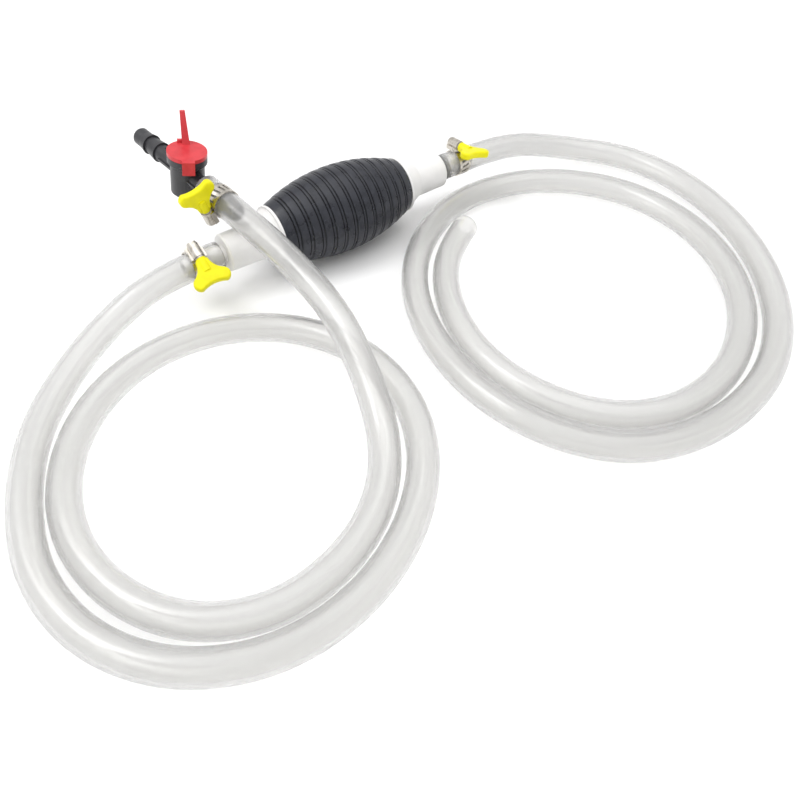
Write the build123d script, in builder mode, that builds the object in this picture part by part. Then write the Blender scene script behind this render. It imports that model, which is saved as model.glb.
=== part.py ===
"""Hand-primed siphon for ponds and aquariums.

A ribbed squeeze bulb lies along X between two check-valve adapters. Each adapter's barb carries a clear
hose, held by a thumb-screw clamp. The left hose ends in a small tap, and the right hose ends bare.
The origin is on the floor under the middle of the bulb, +X towards the outlet, +Z up. Millimetres.
"""

import math
import os

from build123d import *

os.makedirs("parts", exist_ok=True)

# Squeeze bulb
BULB_HALF = 46.0
BULB_RADIUS = 26.5
BULB_END_RADIUS = 16.8
BULB_BORE = 13.3
BULB_WALL = 3.5
BULB_BANDS = 13
BAND_CREST = 0.25
GROOVE_DEPTH = 0.7
AXIS_HEIGHT = BULB_RADIUS

# Adapters
STUB_START = 34.0
LIP_RADIUS = 17.4
LIP_THICKNESS = 1.6
CONE_END = 58.0
HOUSING_RADIUS = 11.3
HOUSING_END = 79.5
CHAMBER_RADIUS = 8.6
CHAMBER_END = 75.0
ADAPTER_TIP = 105.0

# Barbs and hoses
HOSE_RADIUS = 8.0
HOSE_BORE = 6.0
BARB_ROOT = 5.3
BARB_RIDGE = 6.3
FLOW_BORE = 3.5
HOSE_START = 82.0
ARC_SHARE = 0.45

# Check valves, measured along the flow from the seat's upstream face
SEAT_LENGTH = 4.0
SEAT_BORE = 2.8
SEAT_MOUTH = 5.2
BALL_RADIUS = 4.5
BALL_CENTRE = 5.3
CAGE_START = 12.5
CAGE_END = 15.0

# Clamps, along the hose (Z), away from it (Y) and along the screw (X)
CLAMP_DISTANCE = 97.0
BAND_RADIUS = 8.05
BAND_THICKNESS = 0.7
BAND_WIDTH = 9.0
SCREW_HEIGHT = 11.4
SCREW_RADIUS = 2.4
HOUSING_RADIUS_OUT = 3.5
HOUSING_BACK = -6.0
HOUSING_FRONT = 2.6
SHANK_RADIUS = 2.0
SHANK_END = 10.0
KEY_THICKNESS = 4.4
HUB_RADIUS = 3.1

# Tap, measured from the middle of its turret
TAP_REACH = 49.5
TAP_HOSE_STOP = 18.2
TAP_CLAMP = 34.0
TAP_ROLL = 6.0
TURRET_RADIUS = 10.0
TURRET_BOTTOM = -12.0
COLLAR_RADIUS = 11.6
COLLAR_TOP = 12.4
CAVITY_RADIUS = 7.0
PLUG_RADIUS = 6.95
CLIP_BOTTOM = 8.7
CLIP_TOP = 9.9
SPINDLE_BOTTOM = 10.3
HANDLE_TOP = 14.9
TAB_BOTTOM = 6.7
HANDLE_TURN = -31.0
LEVER_LENGTH = 19.2
LEVER_LEAN = 14.0
LEVER_SIDE_LEAN = 4.0

# The hoses' routes, from the adapters outwards
LEFT_ROUTE = [
    (-82, 0, 26.5), (-120, 0, 26.5), (-157, -5, 14), (-190, -25, 8), (-217, -56, 8),
    (-235, -94, 8), (-244, -134, 8), (-238, -174, 8), (-216, -207, 8), (-181, -226, 8),
    (-140, -226, 8), (-101, -209, 8), (-70, -179, 8), (-53, -141, 8), (-52, -99, 8),
    (-70, -62, 8), (-103, -38, 8), (-143, -33, 8), (-181, -48, 8), (-210, -79, 8),
    (-225, -120, 8), (-221, -161, 8), (-202, -193, 8), (-171, -209, 8), (-136, -206, 8),
    (-105, -190, 8), (-82, -163, 10), (-70, -131, 21), (-62, -94, 34), (-63, -53, 43),
    (-65, -12, 47), (-70.5, 29.5, 52),
]
RIGHT_ROUTE = [
    (82, 0, 26.5), (120, 0, 26.5), (159, 2, 19), (196, -10, 9), (220, -40, 8),
    (227, -82, 8), (217, -129, 8), (194, -174, 8), (162, -211, 8), (125, -237, 8),
    (85, -250, 8), (45, -250, 8), (11, -237, 8), (-11, -210, 8), (-22, -174, 8),
    (-21, -136, 8), (-10, -97, 8), (12, -61, 8), (45, -32, 8), (85, -15, 8),
    (127, -18, 8), (161, -38, 8), (184, -72, 8), (189, -113, 8), (178, -156, 8),
    (152, -194, 8), (117, -220, 8), (79, -233, 8), (43, -231, 8), (15, -213, 8),
    (-1, -183, 8), (-5, -147, 8), (4, -111, 8), (22, -79, 8), (46, -55, 8),
    (70, -42, 8),
]


def save(piece, label):
    """Names a finished piece and writes its STEP file."""
    piece.part.label = label
    export_step(piece.part, f"parts/{label}.step")
    print(f"{label:24s} {piece.part.volume:10.1f} mm3, {len(piece.part.solids())} solid")


def axial_plane(origin, along, up):
    """A plane through an axis: its X runs along the axis and its Y is one radius."""
    return Plane(origin=origin, x_dir=along, z_dir=Vector(*along).cross(Vector(*up)))


def turned(plane, outline):
    """Turns a closed outline of (distance along the axis, radius) about the plane's X."""
    with BuildPart() as piece:
        with BuildSketch(plane):
            with BuildLine():
                Polyline(*outline, close=True)
            make_face()
        revolve(axis=Axis(plane.origin, plane.x_dir))
    return piece


def local(frame, plane):
    """A plane given in a frame's own coordinates."""
    return Plane(frame.location * plane.location)


INLET_SIDE = axial_plane((0, 0, AXIS_HEIGHT), (-1, 0, 0), (0, 0, 1))
OUTLET_SIDE = axial_plane((0, 0, AXIS_HEIGHT), (1, 0, 0), (0, 0, 1))


# ---- Squeeze bulb: a barrel of convex bands between narrow grooves ----

def barrel_radius(x):
    """The bulb's radius along its axis, a single arc from rim to rim."""
    middle = BULB_RADIUS - BAND_CREST
    rise = middle - BULB_END_RADIUS
    arc = (BULB_HALF**2 + rise**2) / (2 * rise)
    return middle - arc + math.sqrt(arc**2 - x**2)


def groove_point(index):
    """The bottom of one groove, or the rim at either end."""
    x = -BULB_HALF + index * 2 * BULB_HALF / BULB_BANDS
    depth = 0 if index in (0, BULB_BANDS) else GROOVE_DEPTH
    return x, barrel_radius(x) - depth


with BuildPart() as bulb:
    with BuildSketch(OUTLET_SIDE):
        with BuildLine():
            for band in range(BULB_BANDS):
                first = groove_point(band)
                last = groove_point(band + 1)
                middle = (first[0] + last[0]) / 2
                ThreePointArc(first, (middle, barrel_radius(middle) + BAND_CREST), last)
            Line((BULB_HALF, BULB_END_RADIUS), (BULB_HALF, BULB_BORE))
            Line((BULB_HALF, BULB_BORE), (STUB_START, BULB_BORE))
            ThreePointArc(
                (STUB_START, BULB_BORE), (0, BULB_RADIUS - BULB_WALL), (-STUB_START, BULB_BORE)
            )
            Line((-STUB_START, BULB_BORE), (-BULB_HALF, BULB_BORE))
            Line((-BULB_HALF, BULB_BORE), (-BULB_HALF, BULB_END_RADIUS))
        make_face()
    revolve(axis=Axis((0, 0, AXIS_HEIGHT), (1, 0, 0)))
save(bulb, "squeeze_bulb")


# ---- Adapters: stub in the bulb, lip, cone, valve housing and barb ----

def adapter_outline():
    """Half section of an adapter, from its stub outwards and back through its bore."""
    lip_end = BULB_HALF + LIP_THICKNESS
    ridges = (88.0, 94.0, 100.0)
    outline = [
        (STUB_START, CHAMBER_RADIUS), (STUB_START, BULB_BORE - 0.6), (STUB_START + 0.6, BULB_BORE),
        (BULB_HALF, BULB_BORE), (BULB_HALF, LIP_RADIUS), (lip_end, LIP_RADIUS),
        (lip_end, LIP_RADIUS - 1.2), (CONE_END, HOUSING_RADIUS + 0.2),
        (HOUSING_END - 0.9, HOUSING_RADIUS), (HOUSING_END, HOUSING_RADIUS - 0.9),
        (HOUSING_END, BARB_ROOT),
    ]
    for ridge in ridges:
        outline.append((ridge, BARB_ROOT))
        outline.append((ridge, BARB_RIDGE))
    outline += [
        (ADAPTER_TIP, BARB_ROOT - 0.2), (ADAPTER_TIP, FLOW_BORE),
        (CHAMBER_END, FLOW_BORE), (CHAMBER_END, CHAMBER_RADIUS),
    ]
    return outline


save(turned(INLET_SIDE, adapter_outline()), "inlet_adapter")
save(turned(OUTLET_SIDE, adapter_outline()), "outlet_adapter")


# ---- Check valves: seat ring, ball and cage, all facing the outlet ----

def check_valve(name, start):
    """Makes one valve whose seat's upstream face is at x = start."""
    flow = axial_plane((start, 0, AXIS_HEIGHT), (1, 0, 0), (0, 0, 1))
    cone_start = SEAT_LENGTH - (SEAT_MOUTH - SEAT_BORE)
    seat = turned(flow, [
        (0, SEAT_BORE), (cone_start, SEAT_BORE), (SEAT_LENGTH, SEAT_MOUTH),
        (SEAT_LENGTH, CHAMBER_RADIUS), (0, CHAMBER_RADIUS),
    ])
    save(seat, f"{name}_valve_seat")

    with BuildPart() as ball:
        with Locations((start + BALL_CENTRE, 0, AXIS_HEIGHT)):
            Sphere(BALL_RADIUS)
    save(ball, f"{name}_valve_ball")

    with BuildPart() as cage:
        with BuildSketch(Plane.YZ.offset(start + CAGE_START)):
            with Locations((0, AXIS_HEIGHT)):
                Circle(CHAMBER_RADIUS)
                Circle(2.0, mode=Mode.SUBTRACT)
                with PolarLocations(5.6, 6):
                    Circle(1.5, mode=Mode.SUBTRACT)
        extrude(amount=CAGE_END - CAGE_START)
        with BuildSketch(Plane.YZ.offset(start + CAGE_START)):
            with Locations((0, AXIS_HEIGHT)):
                with PolarLocations(5.7, 3, start_angle=30):
                    Rectangle(1.8, 2.2)
        extrude(amount=-(CAGE_START - SEAT_LENGTH - 0.2))
    save(cage, f"{name}_valve_cage")


check_valve("inlet", -CHAMBER_END)
check_valve("outlet", CHAMBER_END - CAGE_END)


# ---- Hoses: straight runs joined by tangent arcs ----

def corner_radii(route):
    """Each corner's arc takes the same share of its shorter run."""
    points = [Vector(*point) for point in route]
    radii = []
    for before, corner, after in zip(points, points[1:], points[2:]):
        shorter = min((corner - before).length, (after - corner).length)
        turn = math.radians((corner - before).get_angle(after - corner))
        radii.append(ARC_SHARE * shorter / math.tan(turn / 2))
    return radii


def hose(name, route):
    """Sweeps the hose's ring section along its route."""
    radii = corner_radii(route)
    first_run = Vector(*route[1]) - Vector(*route[0])
    with BuildPart() as tube:
        with BuildLine() as path:
            FilletPolyline(*route, radius=radii)
        with BuildSketch(Plane(origin=route[0], z_dir=first_run)):
            Circle(HOSE_RADIUS)
            Circle(HOSE_BORE, mode=Mode.SUBTRACT)
        sweep()
    length = path.wire().length
    section = math.pi * (HOSE_RADIUS**2 - HOSE_BORE**2)
    ratio = tube.part.volume / (section * length)
    print(f"{name}: length {length:.0f} mm, volume over section times length {ratio:.3f}")
    print("  arc radii", " ".join(f"{radius:.0f}" for radius in radii))
    save(tube, name)


hose("left_hose", LEFT_ROUTE)
hose("right_hose", RIGHT_ROUTE)


# ---- Worm-drive clamps with butterfly thumb screws ----

def clamp(name, frame, wing_turn):
    """Makes one clamp. The frame's Z is along the hose, X along the screw towards its key."""
    outer = BAND_RADIUS + BAND_THICKNESS
    with BuildPart() as band:
        with BuildSketch(local(frame, Plane.XY.offset(-BAND_WIDTH / 2))):
            Circle(outer)
            Circle(BAND_RADIUS, mode=Mode.SUBTRACT)
        extrude(amount=BAND_WIDTH)
        slot_cutter = Box(3, 1.3, 5.4, mode=Mode.PRIVATE)
        for slot in range(14):
            angle = 120 + slot * 22
            cutter = Rot(0, 0, angle) * Pos(outer, 0, 0) * Rot(12, 0, 0) * slot_cutter
            add(frame.location * cutter, mode=Mode.SUBTRACT)
    save(band, f"{name}_clamp_band")

    with BuildPart() as housing:
        with BuildSketch(local(frame, Plane.YZ.offset(HOUSING_BACK))):
            with Locations((SCREW_HEIGHT, 0)):
                Circle(HOUSING_RADIUS_OUT)
            with Locations(((outer + SCREW_HEIGHT) / 2, 0)):
                Rectangle(SCREW_HEIGHT - outer, 9.4)
            with Locations((SCREW_HEIGHT, 0)):
                Circle(SCREW_RADIUS + 0.08, mode=Mode.SUBTRACT)
        extrude(amount=HOUSING_FRONT - HOUSING_BACK)
        with BuildSketch(local(frame, Plane.XY.offset(-BAND_WIDTH))):
            Circle(outer)
        extrude(amount=2 * BAND_WIDTH, mode=Mode.SUBTRACT)
    save(housing, f"{name}_clamp_housing")

    axis_frame = local(frame, Plane(origin=(0, SCREW_HEIGHT, 0), x_dir=(1, 0, 0), z_dir=(0, 0, 1)))
    root = SCREW_RADIUS - 0.5
    outline = [
        (HOUSING_BACK - 1.2, 0), (HOUSING_BACK - 1.2, 3.0),
        (HOUSING_BACK - 0.2, 3.0), (HOUSING_BACK - 0.2, root),
    ]
    for thread in range(5):
        start = HOUSING_BACK + 0.6 + thread * 1.4
        outline += [
            (start, root), (start + 0.35, SCREW_RADIUS), (start + 0.75, SCREW_RADIUS), (start + 1.1, root),
        ]
    outline += [
        (HOUSING_FRONT + 0.2, root), (HOUSING_FRONT + 0.2, 3.1), (HOUSING_FRONT + 0.8, 3.1),
        (HOUSING_FRONT + 0.8, SHANK_RADIUS), (SHANK_END, SHANK_RADIUS), (SHANK_END, 0),
    ]
    save(turned(axis_frame, outline), f"{name}_clamp_screw")

    key_start = HOUSING_FRONT + 1.0
    key_frame = local(axis_frame, Plane(Location((0, 0, 0), (1, 0, 0), wing_turn)))
    with BuildPart() as key:
        with BuildSketch(local(key_frame, Plane.XZ.offset(-KEY_THICKNESS / 2))):
            with BuildLine():
                Line((4.8, -3.8), (4.8, 3.8))
                ThreePointArc((4.8, 3.8), (9.4, 5.0), (13.6, 9.0))
                ThreePointArc((13.6, 9.0), (18.2, 10.9), (21.2, 7.4))
                ThreePointArc((21.2, 7.4), (19.5, 0), (21.2, -7.4))
                ThreePointArc((21.2, -7.4), (18.2, -10.9), (13.6, -9.0))
                ThreePointArc((13.6, -9.0), (9.4, -5.0), (4.8, -3.8))
            make_face()
        extrude(amount=KEY_THICKNESS)
        fillet(key.edges().filter_by(GeomType.CIRCLE), 1.3)
        with BuildSketch(local(axis_frame, Plane.YZ.offset(key_start))):
            Circle(HUB_RADIUS)
        extrude(amount=8.4)
        with BuildSketch(local(axis_frame, Plane.YZ.offset(key_start))):
            Circle(SHANK_RADIUS)
        extrude(amount=SHANK_END - key_start, mode=Mode.SUBTRACT)
    save(key, f"{name}_clamp_key")


def adapter_clamp_frame(x, screw_rise):
    """A clamp on an adapter's barb, its screw pointing to -Y and rising by an angle in degrees."""
    rise = math.radians(screw_rise)
    return Plane(origin=(x, 0, AXIS_HEIGHT), x_dir=(0, -math.cos(rise), math.sin(rise)), z_dir=(-1, 0, 0))


clamp("inlet", adapter_clamp_frame(-CLAMP_DISTANCE, -29), 8)
clamp("outlet", adapter_clamp_frame(CLAMP_DISTANCE, 3), -12)


# ---- Tap on the left hose's far end ----

hose_end = Vector(*LEFT_ROUTE[-1])
tap_along = (hose_end - Vector(*LEFT_ROUTE[-2])).normalized()
level_side = tap_along.cross(Vector(0, 0, 1)).normalized()
level_up = level_side.cross(tap_along)
roll = math.radians(TAP_ROLL)
tap_up = level_up * math.cos(roll) + level_side * math.sin(roll)
tap_side = tap_along.cross(tap_up)
tap_centre = hose_end + tap_along * TAP_HOSE_STOP
# Tap frame: X along the barbs towards the free one, Z up the turret
TAP = Plane(origin=tap_centre, x_dir=tap_along, z_dir=tap_up)
print("tap centre", tap_centre, "up", tap_up, "along", tap_along)


def tap_barb_outline():
    """Half section of one barb, with a plain pilot land at its tip."""
    return [
        (0, 0), (0, BARB_ROOT), (26.6, BARB_ROOT), (26.6, BARB_RIDGE), (35.5, BARB_ROOT),
        (37.0, BARB_ROOT), (37.0, BARB_RIDGE), (42.5, 5.4), (48.5, 5.4), (TAP_REACH, 4.8), (TAP_REACH, 0),
    ]


def stack(outline):
    """Turns an outline of (height, radius) about the turret's axis, as a private solid."""
    frame = axial_plane(tap_centre, tuple(tap_up), tuple(tap_along))
    return turned(frame, outline).part


turret = stack([
    (TURRET_BOTTOM, 0), (TURRET_BOTTOM, TURRET_RADIUS - 0.9), (TURRET_BOTTOM + 0.9, TURRET_RADIUS),
    (6.6, TURRET_RADIUS), (8.4, COLLAR_RADIUS), (COLLAR_TOP, COLLAR_RADIUS), (COLLAR_TOP, 0),
])
cavity = stack([(-9.5, 0), (-9.5, CAVITY_RADIUS), (COLLAR_TOP, CAVITY_RADIUS), (COLLAR_TOP, 0)])
clip_groove = stack([(CLIP_BOTTOM, 0), (CLIP_BOTTOM, 7.6), (CLIP_TOP, 7.6), (CLIP_TOP, 0)])
hose_barb = turned(axial_plane(tap_centre, tuple(-tap_along), tuple(tap_up)), tap_barb_outline()).part
free_barb = turned(axial_plane(tap_centre, tuple(tap_along), tuple(tap_up)), tap_barb_outline()).part

with BuildPart() as tap_body:
    add(turret)
    add(hose_barb)
    add(free_barb)
    for rib_end in (-TAP_HOSE_STOP + 0.4, 22.0):
        with BuildSketch(local(TAP, Plane.YZ)):
            with PolarLocations(0, 4):
                Rectangle(12.4, 1.1)
        extrude(amount=rib_end)
    with BuildSketch(local(TAP, Plane.YZ.offset(-TAP_REACH))):
        Circle(FLOW_BORE)
    extrude(amount=2 * TAP_REACH, mode=Mode.SUBTRACT)
    add(cavity, mode=Mode.SUBTRACT)
    add(clip_groove, mode=Mode.SUBTRACT)
save(tap_body, "tap_body")

plug_blank = stack([
    (-9.3, 0), (-9.3, PLUG_RADIUS), (-7.7, PLUG_RADIUS), (-7.7, 5.2), (-5.7, 5.2), (-5.7, PLUG_RADIUS),
    (5.1, PLUG_RADIUS), (5.1, 5.2), (7.1, 5.2), (7.1, PLUG_RADIUS), (8.4, PLUG_RADIUS), (8.4, 4.0),
    (SPINDLE_BOTTOM, 4.0), (SPINDLE_BOTTOM, 0),
])
HANDLE = local(TAP, Plane(Location((0, 0, 0), (0, 0, 1), 180 + HANDLE_TURN)))
with BuildPart() as tap_plug:
    add(plug_blank)
    with BuildSketch(local(HANDLE, Plane.YZ.offset(-PLUG_RADIUS - 1))):
        Circle(FLOW_BORE)
    extrude(amount=2 * PLUG_RADIUS + 2, mode=Mode.SUBTRACT)
    with BuildSketch(local(HANDLE, Plane.XY.offset(SPINDLE_BOTTOM))):
        Rectangle(5, 5)
    extrude(amount=3.2)
save(tap_plug, "tap_plug")

for ring_name, ring_height in (("tap_lower_seal", -6.7), ("tap_upper_seal", 6.1)):
    with BuildPart() as seal:
        with BuildSketch(local(TAP, Plane.XZ)):
            with Locations((6.08, ring_height)):
                Circle(0.85)
        revolve(axis=Axis(tap_centre, tap_up))
    save(seal, ring_name)

with BuildPart() as tap_clip:
    with BuildSketch(local(TAP, Plane.XY.offset(CLIP_BOTTOM + 0.1))):
        Circle(7.5)
        Circle(4.4, mode=Mode.SUBTRACT)
        with Locations((6, 0)):
            Rectangle(5, 2, mode=Mode.SUBTRACT)
    extrude(amount=CLIP_TOP - CLIP_BOTTOM - 0.2)
save(tap_clip, "tap_clip")

lever_lean = math.radians(LEVER_LEAN)
lever_side_lean = math.radians(LEVER_SIDE_LEAN)
with BuildPart() as tap_handle:
    with BuildSketch(local(HANDLE, Plane.XY.offset(COLLAR_TOP + 0.15))):
        Circle(COLLAR_RADIUS)
        with Locations((8.8, 0)):
            Rectangle(10.1, 7.2)
    extrude(amount=HANDLE_TOP - COLLAR_TOP - 0.15)
    with BuildSketch(local(HANDLE, Plane.XY.offset(TAB_BOTTOM))):
        with Locations((13.0, 0)):
            Rectangle(1.7, 7.2)
    extrude(amount=HANDLE_TOP - TAB_BOTTOM - 1)
    with BuildSketch(local(HANDLE, Plane.XY.offset(SPINDLE_BOTTOM))):
        Circle(6.2)
    extrude(amount=COLLAR_TOP - SPINDLE_BOTTOM + 0.3)
    with BuildSketch(local(HANDLE, Plane.XY.offset(SPINDLE_BOTTOM))):
        Rectangle(5, 5)
    extrude(amount=3.2, mode=Mode.SUBTRACT)
    lever_direction = Vector(-math.sin(lever_lean), -math.sin(lever_side_lean), math.cos(lever_lean))
    lever_foot = Plane(origin=(-8.9, 0, HANDLE_TOP - 1), x_dir=(0, 1, 0), z_dir=lever_direction)
    with BuildSketch(local(HANDLE, lever_foot)):
        Rectangle(4.4, 5.2)
    with BuildSketch(local(HANDLE, lever_foot.offset(LEVER_LENGTH))):
        Rectangle(3.0, 3.0)
    loft()
    with BuildSketch(local(HANDLE, Plane.XY.offset(HANDLE_TOP))):
        with Locations((-9.6, -2.8)):
            Rectangle(2.0, 4.4)
    extrude(amount=1.6)
save(tap_handle, "tap_handle")


# ---- The tap's own clamp, on the hose between the barb's ridges ----

clamp_centre = tap_centre - tap_along * TAP_CLAMP
screw_lean = math.radians(25)
screw_direction = tap_up * math.cos(screw_lean) - tap_side * math.sin(screw_lean)
clamp("tap", Plane(origin=clamp_centre, x_dir=screw_direction, z_dir=-tap_along), 82)
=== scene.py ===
"""Looks of the hand-primed siphon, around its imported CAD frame. Metres, +X towards the outlet, +Z up."""

import math

import bpy
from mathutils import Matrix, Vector


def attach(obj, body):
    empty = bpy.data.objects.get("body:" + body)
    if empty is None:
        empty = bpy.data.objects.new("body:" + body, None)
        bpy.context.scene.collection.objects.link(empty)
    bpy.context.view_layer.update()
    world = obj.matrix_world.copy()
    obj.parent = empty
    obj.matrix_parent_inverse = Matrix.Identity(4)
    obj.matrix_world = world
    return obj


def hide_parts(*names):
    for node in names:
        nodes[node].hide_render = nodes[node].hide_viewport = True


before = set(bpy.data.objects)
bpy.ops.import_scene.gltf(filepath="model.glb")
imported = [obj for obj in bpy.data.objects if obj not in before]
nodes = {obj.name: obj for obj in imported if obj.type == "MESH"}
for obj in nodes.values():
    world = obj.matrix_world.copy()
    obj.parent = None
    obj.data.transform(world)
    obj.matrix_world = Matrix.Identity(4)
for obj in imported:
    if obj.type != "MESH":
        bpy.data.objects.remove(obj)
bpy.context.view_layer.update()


def linked(name, data):
    """A new object in the scene."""
    made = bpy.data.objects.new(name, data)
    bpy.context.scene.collection.objects.link(made)
    return made


# ---- Camera ----

camera_data = bpy.data.cameras.new("camera")
camera_data.lens = 36.45
camera_data.sensor_width = 36
camera = linked("camera", camera_data)
camera.location = (-0.2328, -0.3736, 0.3005)
camera.rotation_euler = (math.radians(44.7), 0, math.radians(-37))
bpy.context.scene.camera = camera


# ---- Hoses: their routes, the same as the CAD tubes', from the adapters outwards ----

HOSE_RADIUS = 0.008
HOSE_BORE = 0.006
HOSE_SEGMENTS = 48
HOSE_LIP = 0.0005
LINE_RESOLUTION = 14

LEFT_ROUTE = [
    (-0.082, 0, 0.0265), (-0.120, 0, 0.0265), (-0.157, -0.005, 0.014), (-0.190, -0.025, 0.008),
    (-0.217, -0.056, 0.008), (-0.235, -0.094, 0.008), (-0.244, -0.134, 0.008), (-0.238, -0.174, 0.008),
    (-0.216, -0.207, 0.008), (-0.181, -0.226, 0.008), (-0.140, -0.226, 0.008), (-0.101, -0.209, 0.008),
    (-0.070, -0.179, 0.008), (-0.053, -0.141, 0.008), (-0.052, -0.099, 0.008), (-0.070, -0.062, 0.008),
    (-0.103, -0.038, 0.008), (-0.143, -0.033, 0.008), (-0.181, -0.048, 0.008), (-0.210, -0.079, 0.008),
    (-0.225, -0.120, 0.008), (-0.221, -0.161, 0.008), (-0.202, -0.193, 0.008), (-0.171, -0.209, 0.008),
    (-0.136, -0.206, 0.008), (-0.105, -0.190, 0.008), (-0.082, -0.163, 0.010), (-0.070, -0.131, 0.021),
    (-0.062, -0.094, 0.034), (-0.063, -0.053, 0.043), (-0.065, -0.012, 0.047),
    (-0.0705, 0.0295, 0.052),
]
RIGHT_ROUTE = [
    (0.082, 0, 0.0265), (0.120, 0, 0.0265), (0.159, 0.002, 0.019), (0.196, -0.010, 0.009),
    (0.220, -0.040, 0.008), (0.227, -0.082, 0.008), (0.217, -0.129, 0.008), (0.194, -0.174, 0.008),
    (0.162, -0.211, 0.008), (0.125, -0.237, 0.008), (0.085, -0.250, 0.008), (0.045, -0.250, 0.008),
    (0.011, -0.237, 0.008), (-0.011, -0.210, 0.008), (-0.022, -0.174, 0.008), (-0.021, -0.136, 0.008),
    (-0.010, -0.097, 0.008), (0.012, -0.061, 0.008), (0.045, -0.032, 0.008), (0.085, -0.015, 0.008),
    (0.127, -0.018, 0.008), (0.161, -0.038, 0.008), (0.184, -0.072, 0.008), (0.189, -0.113, 0.008),
    (0.178, -0.156, 0.008), (0.152, -0.194, 0.008), (0.117, -0.220, 0.008), (0.079, -0.233, 0.008),
    (0.043, -0.231, 0.008), (0.015, -0.213, 0.008), (-0.001, -0.183, 0.008), (-0.005, -0.147, 0.008),
    (0.004, -0.111, 0.008), (0.022, -0.079, 0.008), (0.046, -0.055, 0.008), (0.070, -0.042, 0.008),
]

# Where barbs sit inside a hose, measured from that end: ridges, barb tip and clamp
ADAPTER_FIT = {"ridges": (0.006, 0.012, 0.018), "tip": 0.023, "clamp": 0.015}
TAP_FIT = {"ridges": (0.0084, 0.0188), "tip": 0.0313, "clamp": 0.0158}

# How much a barb and its ridges push the bore and the outside out, and how far along
BORE_OVER_BARB = 0.00025
BORE_OVER_RIDGE = 0.0002
OUTSIDE_OVER_BARB = 0.0002
OUTSIDE_OVER_RIDGE = 0.00025
RIDGE_WIDTH = 0.0016
TAPER_BEFORE_TIP = 0.003
TAPER_PAST_TIP = 0.008
GRIP_INNER = 0.0046
GRIP_OUTER = 0.0062


def smooth_step(low, high, value):
    """0 below low, 1 above high, and an even ease between them."""
    share = min(max((value - low) / (high - low), 0), 1)
    return share * share * (3 - 2 * share)


def bell(value, middle, width):
    """1 at the middle, falling away over the width."""
    return math.exp(-(((value - middle) / width) ** 2))


def smooth_line(name, route):
    """The points of the smooth line that Blender draws through a route's control points."""
    data = bpy.data.curves.new(name, "CURVE")
    data.dimensions = "3D"
    data.resolution_u = LINE_RESOLUTION
    spline = data.splines.new("NURBS")
    spline.points.add(len(route) - 1)
    for control, place in zip(spline.points, route):
        control.co = (*place, 1)
    spline.order_u = 3
    spline.use_endpoint_u = True
    guide = linked(name, data)
    bpy.context.view_layer.update()
    line_mesh = bpy.data.meshes.new_from_object(guide)
    line = [vertex.co.copy() for vertex in line_mesh.vertices]
    bpy.data.objects.remove(guide)
    bpy.data.meshes.remove(line_mesh)
    return line


def line_frames(line):
    """(distance from the start, place, side, up) along a line, turning as little as it can."""
    frames = []
    distance = 0
    side = None
    for index, place in enumerate(line):
        before = line[max(index - 1, 0)]
        after = line[min(index + 1, len(line) - 1)]
        forward = (after - before).normalized()
        if side is None:
            side = forward.cross(Vector((0, 0, 1))).normalized()
        else:
            distance += (place - line[index - 1]).length
            side = (side - forward * side.dot(forward)).normalized()
        frames.append((distance, place, side, side.cross(forward)))
    return frames


def barb_stretch(distance, fit):
    """How much wider a hose's bore and its outside are over a barb, at a distance from its end."""
    if fit is None:
        return 0, 0
    taper_start = fit["tip"] - TAPER_BEFORE_TIP
    over_barb = 1 - smooth_step(taper_start, fit["tip"] + TAPER_PAST_TIP, distance)
    ridge = max(bell(distance, place, RIDGE_WIDTH) for place in fit["ridges"])
    bore = BORE_OVER_BARB * over_barb + BORE_OVER_RIDGE * ridge
    outside = OUTSIDE_OVER_BARB * over_barb + OUTSIDE_OVER_RIDGE * ridge
    clear_of_clamp = smooth_step(GRIP_INNER, GRIP_OUTER, abs(distance - fit["clamp"]))
    return bore, outside * clear_of_clamp


def hose_rings(frames, start_fit, end_fit):
    """(frame, outer radius, bore radius) for each ring of a hose."""
    total = frames[-1][0]
    rings = []
    for section in frames:
        from_start = barb_stretch(section[0], start_fit)
        from_end = barb_stretch(total - section[0], end_fit)
        rings.append((
            section,
            HOSE_RADIUS + from_start[1] + from_end[1],
            HOSE_BORE + from_start[0] + from_end[0],
        ))
    return rings


def tube_loops(rings):
    """(frame, radius, distance ahead of the frame) round a hose's wall, with rounded lips."""
    start, start_outer, start_bore = rings[0]
    end, end_outer, end_bore = rings[-1]
    slight = 0.3 * HOSE_LIP
    loops = [
        (start, start_outer - HOSE_LIP, 0),
        (start, start_outer - slight, slight),
        (start, start_outer, HOSE_LIP),
    ]
    loops += [(section, outer, 0) for section, outer, _ in rings[1:-1]]
    loops += [
        (end, end_outer, -HOSE_LIP),
        (end, end_outer - slight, -slight),
        (end, end_outer - HOSE_LIP, 0),
        (end, end_bore + slight, 0),
    ]
    loops += [(section, bore, 0) for section, _, bore in reversed(rings[1:-1])]
    loops.append((start, start_bore + slight, 0))
    return loops


def ring_faces(ring_count, around, hose_order):
    """Quads that join each ring to the next, and the last ring to the first.

    A hose's rings and a lathed wall's rings turn in opposite senses, so their faces do too.
    """
    faces = []
    for index in range(ring_count):
        near = index * around
        far = (index + 1) % ring_count * around
        for step in range(around):
            beside = (step + 1) % around
            face = (near + step, far + step, far + beside, near + beside)
            if not hose_order:
                face = (near + step, near + beside, far + beside, far + step)
            faces.append(face)
    return faces


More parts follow.
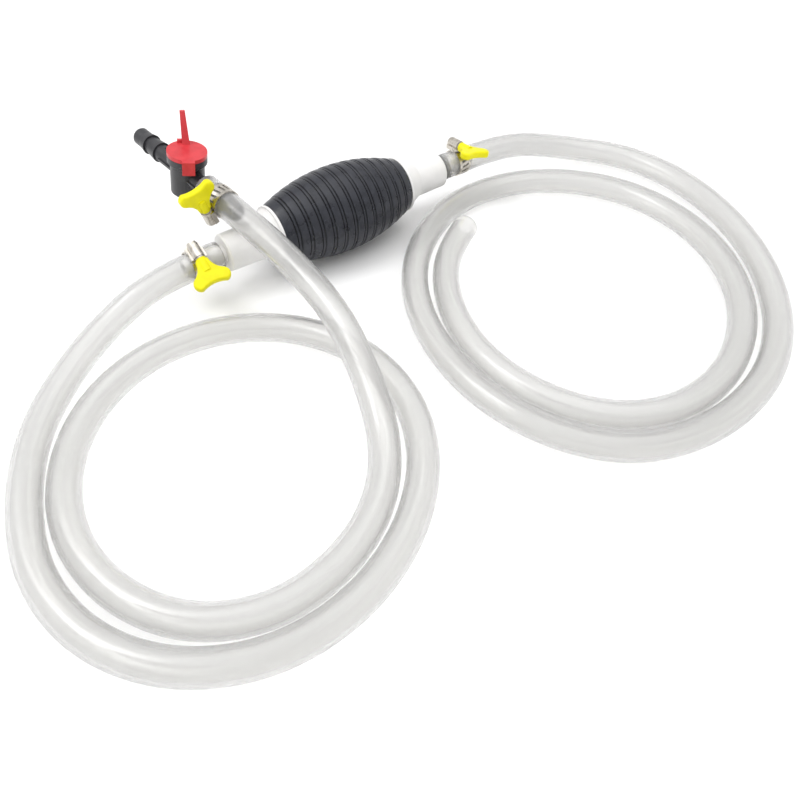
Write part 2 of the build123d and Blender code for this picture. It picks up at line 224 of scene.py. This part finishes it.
def tube_mesh(name, rings):
    """A closed double-walled tube from its rings."""
    loops = tube_loops(rings)
    vertices = []
    places = []
    for (distance, centre, side, up), radius, ahead in loops:
        forward = up.cross(side)
        for step in range(HOSE_SEGMENTS):
            angle = 2 * math.pi * step / HOSE_SEGMENTS
            out = side * math.cos(angle) + up * math.sin(angle)
            vertices.append(centre + out * radius + forward * ahead)
            places.append((math.cos(angle), math.sin(angle), distance))
    faces = ring_faces(len(loops), HOSE_SEGMENTS, True)
    mesh = bpy.data.meshes.new(name)
    mesh.from_pydata(vertices, [], faces)
    mesh.shade_smooth()
    attribute = mesh.attributes.new("hose_place", "FLOAT_VECTOR", "POINT")
    attribute.data.foreach_set("vector", [number for place in places for number in place])
    return mesh


def make_hose(name, node, route, start_fit, end_fit):
    """A clear hose along its route, standing for its CAD tube, and the line it follows."""
    line = smooth_line(name, route)
    piece = linked(name, tube_mesh(name, hose_rings(line_frames(line), start_fit, end_fit)))
    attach(piece, "root")
    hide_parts(node)
    return piece, line


left_hose, left_line = make_hose("clear_hose_left", "left_hose", LEFT_ROUTE, ADAPTER_FIT, TAP_FIT)
right_hose, right_line = make_hose("clear_hose_right", "right_hose", RIGHT_ROUTE, ADAPTER_FIT, None)


# ---- Squeeze bulb: convex bands, and between them a thin bead in a pair of narrow grooves ----

AXIS_HEIGHT = 0.0265
BULB_HALF = 0.046
BULB_RADIUS = 0.0265
BULB_END_RADIUS = 0.0168
BULB_BORE = 0.0133
BULB_WALL = 0.0035
BULB_BANDS = 13
BAND_CREST = 0.00025
NECK_START = 0.034
BEAD_OFFSET = 0.00095
GROOVE_WIDTH = 0.00030
GROOVE_DEPTH = 0.0009
RIM_ROUND = 0.0005
OUTSIDE_STEPS_PER_BAND = 36
INSIDE_STEPS = 24
BULB_SEGMENTS = 144


def arc_radius(x, half, middle, end):
    """The radius at x of an arc that is middle wide at 0 and end wide at half."""
    rise = middle - end
    arc = (half**2 + rise**2) / (2 * rise)
    return middle - arc + math.sqrt(arc**2 - x**2)


def groove_share(x):
    """How far x is into a groove: 1 at its bottom, 0 on a band's crest."""
    pitch = 2 * BULB_HALF / BULB_BANDS
    nearest = min(max(round((x + BULB_HALF) / pitch), 1), BULB_BANDS - 1)
    offset = x + BULB_HALF - nearest * pitch
    return max(bell(offset, -BEAD_OFFSET, GROOVE_WIDTH), bell(offset, BEAD_OFFSET, GROOVE_WIDTH))


def bulb_radius(x):
    """The bulb's outside at x: its barrel, its bands and their grooves."""
    barrel = arc_radius(x, BULB_HALF, BULB_RADIUS - BAND_CREST, BULB_END_RADIUS)
    place = (x + BULB_HALF) * BULB_BANDS / (2 * BULB_HALF)
    share = place - math.floor(place)
    crest = BAND_CREST * (1 - (2 * share - 1) ** 4)
    return barrel + crest - GROOVE_DEPTH * groove_share(x)


def bulb_outline():
    """(x, radius) round the bulb's wall: outside, rim, neck and inside."""
    steps = BULB_BANDS * OUTSIDE_STEPS_PER_BAND
    outline = []
    for step in range(steps + 1):
        x = -BULB_HALF + 2 * BULB_HALF * step / steps
        outline.append((x, bulb_radius(x)))
    slight = 0.4 * RIM_ROUND
    outline[0] = (-BULB_HALF + slight, BULB_END_RADIUS - slight)
    outline[-1] = (BULB_HALF - slight, BULB_END_RADIUS - slight)
    outline.append((BULB_HALF, BULB_END_RADIUS - RIM_ROUND))
    outline.append((BULB_HALF, BULB_BORE))
    for step in range(INSIDE_STEPS + 1):
        x = NECK_START * (1 - 2 * step / INSIDE_STEPS)
        outline.append((x, arc_radius(x, NECK_START, BULB_RADIUS - BULB_WALL, BULB_BORE)))
    outline.append((-BULB_HALF, BULB_BORE))
    outline.append((-BULB_HALF, BULB_END_RADIUS - RIM_ROUND))
    return outline


def lathe_mesh(name, outline, around):
    """A closed outline turned about the bulb's axis."""
    vertices = []
    for x, radius in outline:
        for step in range(around):
            angle = 2 * math.pi * step / around
            vertices.append((x, radius * math.cos(angle), AXIS_HEIGHT + radius * math.sin(angle)))
    faces = ring_faces(len(outline), around, False)
    mesh = bpy.data.meshes.new(name)
    mesh.from_pydata(vertices, [], faces)
    mesh.shade_smooth()
    return mesh


bulb = linked("ribbed_bulb", lathe_mesh("ribbed_bulb", bulb_outline(), BULB_SEGMENTS))
# Painted shade: how deep each point sits in a groove, kept to darken the rubber there
painted_shade_mark = bulb.data.attributes.new("groove", "FLOAT", "POINT")
painted_shade_mark.data.foreach_set("value", [groove_share(vertex.co.x) for vertex in bulb.data.vertices])
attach(bulb, "root")
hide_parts("squeeze_bulb")


# ---- Materials ----
# moulded() takes two colours, a roughness range, mottle and grain scales per metre, and a bump depth

def new_material(name):
    """A material, its node tree and its Principled shader."""
    material = bpy.data.materials.new(name)
    material.use_nodes = True
    return material, material.node_tree, material.node_tree.nodes["Principled BSDF"]


def add_node(tree, kind, inputs=(), **settings):
    """A node with its settings and its plain input values."""
    made = tree.nodes.new(kind)
    for name, value in settings.items():
        setattr(made, name, value)
    for name, value in dict(inputs).items():
        made.inputs[name].default_value = value
    return made


def object_place(tree, stretch=(1, 1, 1)):
    """The place on the object, in metres, stretched to lengthen a grain."""
    place = add_node(tree, "ShaderNodeTexCoord")
    mapping = add_node(tree, "ShaderNodeMapping", {"Scale": stretch})
    tree.links.new(place.outputs["Object"], mapping.inputs["Vector"])
    return mapping.outputs["Vector"]


def noise(tree, place, scale, detail=3.0, roughness=0.5):
    """Noise between 0 and 1 at a place."""
    made = add_node(
        tree, "ShaderNodeTexNoise", {"Scale": scale, "Detail": detail, "Roughness": roughness}
    )
    tree.links.new(place, made.inputs["Vector"])
    return made.outputs["Fac"]


def mixed_colour(tree, factor, first, second, low=0.35, high=0.65):
    """A colour that goes from first to second as the factor goes from low to high."""
    ramp = add_node(tree, "ShaderNodeValToRGB")
    ramp.color_ramp.elements[0].position = low
    ramp.color_ramp.elements[0].color = (*first, 1)
    ramp.color_ramp.elements[1].position = high
    ramp.color_ramp.elements[1].color = (*second, 1)
    tree.links.new(factor, ramp.inputs["Fac"])
    return ramp.outputs["Color"]


def mapped(tree, factor, low, high):
    """A number from low to high, over most of the noise's range."""
    made = add_node(
        tree, "ShaderNodeMapRange",
        {"From Min": 0.3, "From Max": 0.7, "To Min": low, "To Max": high},
    )
    tree.links.new(factor, made.inputs["Value"])
    return made.outputs["Result"]


def bumped(tree, shader, height, strength, distance):
    """Gives the shader a bump from a height."""
    bump = add_node(tree, "ShaderNodeBump", {"Strength": strength, "Distance": distance})
    tree.links.new(height, bump.inputs["Height"])
    tree.links.new(bump.outputs["Normal"], shader.inputs["Normal"])


def moulded(name, first, second, rough, mottle, grain, depth, stretch=(1, 1, 1)):
    """A moulded surface: mottled colour, uneven gloss and a fine skin."""
    material, tree, shader = new_material(name)
    place = object_place(tree, stretch)
    broad = noise(tree, place, mottle)
    fine = noise(tree, place, grain, 4.0, 0.6)
    tree.links.new(mixed_colour(tree, broad, first, second), shader.inputs["Base Color"])
    tree.links.new(mapped(tree, broad, *rough), shader.inputs["Roughness"])
    bumped(tree, shader, fine, 0.5, depth)
    return material, shader


def bulb_rubber():
    """Blue-black rubber with a faint bloom, and painted shade that darkens it down in its grooves."""
    material, shader = moulded(
        "rubber", (0.016, 0.0175, 0.025), (0.027, 0.029, 0.039), (0.24, 0.40), 190, 2400, 0.00012
    )
    tree = material.node_tree
    # Painted shade: the rubber's colour is mixed towards near-black down in its grooves
    groove = add_node(tree, "ShaderNodeAttribute", attribute_name="groove")
    painted_groove_shade = add_node(tree, "ShaderNodeMix", {"B": (0.003, 0.003, 0.004, 1)}, data_type="RGBA")
    surface = shader.inputs["Base Color"].links[0].from_socket
    tree.links.new(groove.outputs["Fac"], painted_groove_shade.inputs["Factor"])
    tree.links.new(surface, painted_groove_shade.inputs["A"])
    tree.links.new(painted_groove_shade.outputs["Result"], shader.inputs["Base Color"])
    shader.inputs["Specular IOR Level"].default_value = 0.4
    return material


rubber = bulb_rubber()
white, _ = moulded(
    "white_plastic", (0.78, 0.77, 0.76), (0.83, 0.82, 0.81), (0.36, 0.50), 90, 1800, 0.00005
)
yellow, yellow_shader = moulded(
    "yellow_plastic", (0.78, 0.72, 0.003), (0.86, 0.80, 0.006), (0.36, 0.50), 220, 2200, 0.00005
)
yellow_shader.inputs["Specular IOR Level"].default_value = 0.25
black, _ = moulded(
    "black_plastic", (0.022, 0.022, 0.026), (0.036, 0.036, 0.041), (0.30, 0.44), 180, 2000, 0.00006
)
red, red_shader = moulded(
    "red_plastic", (0.58, 0.036, 0.046), (0.66, 0.050, 0.062), (0.30, 0.44), 200, 2000, 0.00005
)
red_shader.inputs["Specular IOR Level"].default_value = 0.35
seal, _ = moulded(
    "seal_rubber", (0.012, 0.012, 0.012), (0.022, 0.022, 0.022), (0.45, 0.6), 300, 3000, 0.00005
)
ball_rubber, _ = moulded(
    "ball_rubber", (0.042, 0.042, 0.043), (0.058, 0.058, 0.06), (0.42, 0.58), 300, 3000, 0.00005
)
steel, steel_shader = moulded(
    "clamp_steel", (0.50, 0.47, 0.42), (0.68, 0.64, 0.58), (0.18, 0.34), 400, 1500, 0.00004, (1, 1, 0.2)
)
steel_shader.inputs["Metallic"].default_value = 1


def clear_vinyl():
    """Milky clear hose: it bends light, and its wall holds a little haze."""
    material, tree, shader = new_material("clear_vinyl")
    place = add_node(tree, "ShaderNodeAttribute", attribute_name="hose_place")
    streaks = add_node(tree, "ShaderNodeMapping", {"Scale": (1, 1, 2)})
    tree.links.new(place.outputs["Vector"], streaks.inputs["Vector"])
    haze = noise(tree, streaks.outputs["Vector"], 3.5)
    fine = noise(tree, object_place(tree), 350, 4.0)
    colour = mixed_colour(tree, haze, (0.81, 0.807, 0.8), (0.87, 0.867, 0.86))
    tree.links.new(colour, shader.inputs["Base Color"])
    tree.links.new(mapped(tree, haze, 0.14, 0.26), shader.inputs["Roughness"])
    bumped(tree, shader, fine, 0.3, 0.0002)
    shader.inputs["IOR"].default_value = 1.46
    shader.inputs["Transmission Weight"].default_value = 0.86
    path = add_node(tree, "ShaderNodeLightPath")
    pass_through = add_node(tree, "ShaderNodeBsdfTransparent", {"Color": (0.94, 0.94, 0.935, 1)})
    either = add_node(tree, "ShaderNodeMixShader")
    tree.links.new(path.outputs["Is Shadow Ray"], either.inputs["Fac"])
    tree.links.new(shader.outputs["BSDF"], either.inputs[1])
    tree.links.new(pass_through.outputs["BSDF"], either.inputs[2])
    tree.links.new(either.outputs["Shader"], tree.nodes["Material Output"].inputs["Surface"])
    return material


vinyl = clear_vinyl()

NODE_FINISHES = {
    "adapter": white, "valve_seat": seal, "valve_cage": white, "valve_ball": ball_rubber,
    "clamp_band": steel, "clamp_housing": steel, "clamp_screw": steel, "clamp_key": yellow,
    "tap_body": black, "tap_plug": black, "tap_clip": steel, "seal": seal, "tap_handle": red,
}
for name, node in nodes.items():
    for ending, finish in NODE_FINISHES.items():
        if name.endswith(ending):
            for slot in node.material_slots:
                slot.material = finish
bulb.data.materials.append(rubber)
left_hose.data.materials.append(vinyl)
right_hose.data.materials.append(vinyl)


# ---- Floor and lights ----

FLOOR_HALF = 4
FLOOR_DROP = 0.0003

floor_mesh = bpy.data.meshes.new("floor")
floor_mesh.from_pydata(
    [(x * FLOOR_HALF, y * FLOOR_HALF, 0) for x, y in ((-1, -1), (1, -1), (1, 1), (-1, 1))],
    [], [(0, 1, 2, 3)],
)
floor = linked("floor", floor_mesh)
floor.location.z = -FLOOR_DROP
floor_material, _ = moulded(
    "floor", (0.945, 0.945, 0.945), (0.96, 0.96, 0.96), (0.8, 0.9), 3, 200, 0.00005
)
floor_mesh.materials.append(floor_material)

world = bpy.data.worlds.new("studio")
world.use_nodes = True
world.node_tree.nodes["Background"].inputs["Color"].default_value = (1, 1, 1, 1)
world.node_tree.nodes["Background"].inputs["Strength"].default_value = 0.87
bpy.context.scene.world = world


def soft_light(name, place, target, size, power):
    """A square area light that looks at a target."""
    data = bpy.data.lights.new(name, "AREA")
    data.size = size
    data.energy = power
    light = linked(name, data)
    light.location = place
    light.rotation_euler = (Vector(target) - Vector(place)).to_track_quat("-Z", "Y").to_euler()


soft_light("key", (-0.55, 0.30, 1.0), (0, 0, 0), 0.45, 3.2)
soft_light("top", (0.1, -0.1, 1.8), (0, -0.1, 0), 2.0, 14)

bpy.context.scene.view_settings.view_transform = "Standard"
